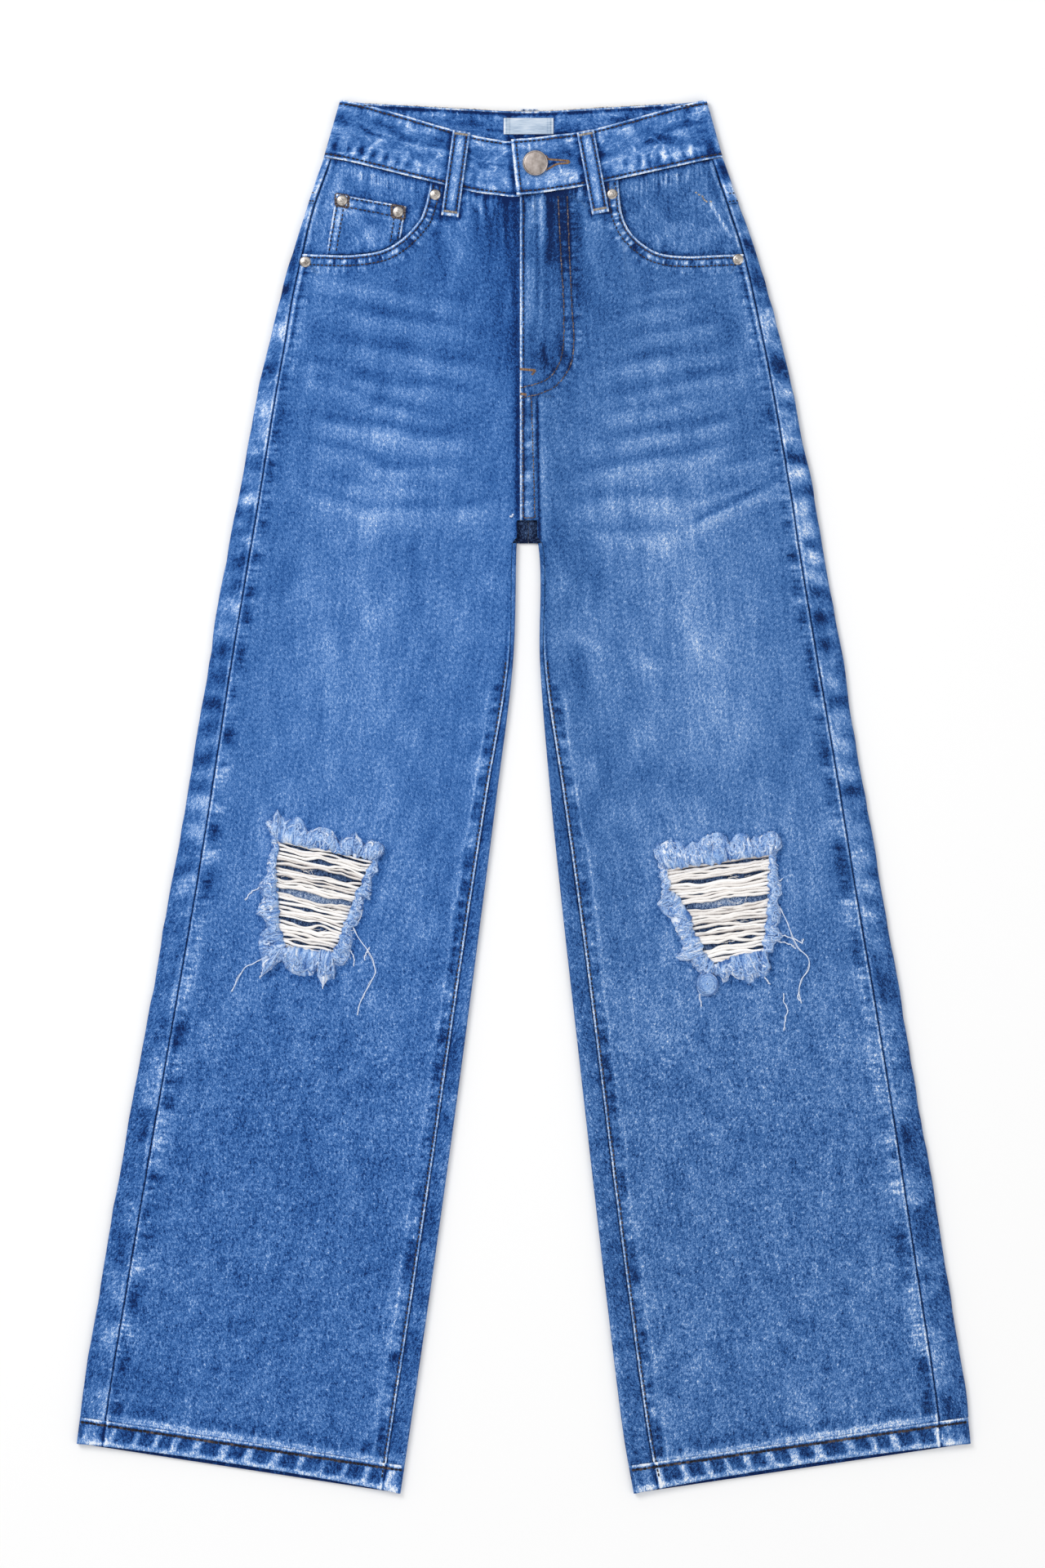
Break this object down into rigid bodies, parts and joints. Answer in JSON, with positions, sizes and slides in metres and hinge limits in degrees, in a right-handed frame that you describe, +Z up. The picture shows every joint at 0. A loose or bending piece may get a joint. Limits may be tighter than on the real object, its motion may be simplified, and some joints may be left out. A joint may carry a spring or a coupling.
{
  "type": "ripped jeans",
  "caption": "High-rise wide-leg blue denim jeans with ripped and frayed knees, laid flat, with front pockets, a coin pocket, belt loops and a button fly.",
  "frame": {"origin": "middle of the garment's outline on the surface that it lies on", "axes": "+X towards the wearer's left side, +Y from the hems to the waist, +Z up out of the surface, towards the front of the garment"},
  "size_m": [0.6688, 1.0414, 0.0121],
  "materials": {
    "denim": "washed mid-blue cotton denim, twill weave, faded along seams and creases",
    "weft_yarn": "bared undyed cotton weft yarns",
    "fray": "curled pale blue frayed cloth edge",
    "thread": "brown and gold topstitching thread",
    "label": "plain pale woven label, bare",
    "button_metal": "worn antique nickel",
    "rivet_metal": "worn nickel with a brass tint"
  },
  "bodies": {
    "root": {"front_panel_right": "denim", "front_panel_left": "denim", "back_panel_right": "denim", "back_panel_left": "denim", "yoke_right": "denim", "yoke_left": "denim", "waistband": "denim", "pocket_facing_right": "denim", "pocket_facing_left": "denim", "coin_pocket": "denim", "back_pocket_right": "denim", "back_pocket_left": "denim", "hem_right": "denim", "hem_left": "denim", "belt_loop_front_right": "denim", "belt_loop_front_left": "denim", "belt_loop_back_right": "denim", "belt_loop_back_left": "denim", "belt_loop_back_centre": "denim", "waist_label": "label", "button": "button_metal", "rivet_pocket_right_inner": "rivet_metal", "rivet_pocket_right_outer": "rivet_metal", "rivet_pocket_left_inner": "rivet_metal", "rivet_pocket_left_outer": "rivet_metal", "rivet_coin_outer": "rivet_metal", "rivet_coin_inner": "rivet_metal", "knee_yarns_right": "weft_yarn", "knee_yarns_left": "weft_yarn", "fray_right": "fray", "fray_left": "fray"}
  },
  "joints": []
}
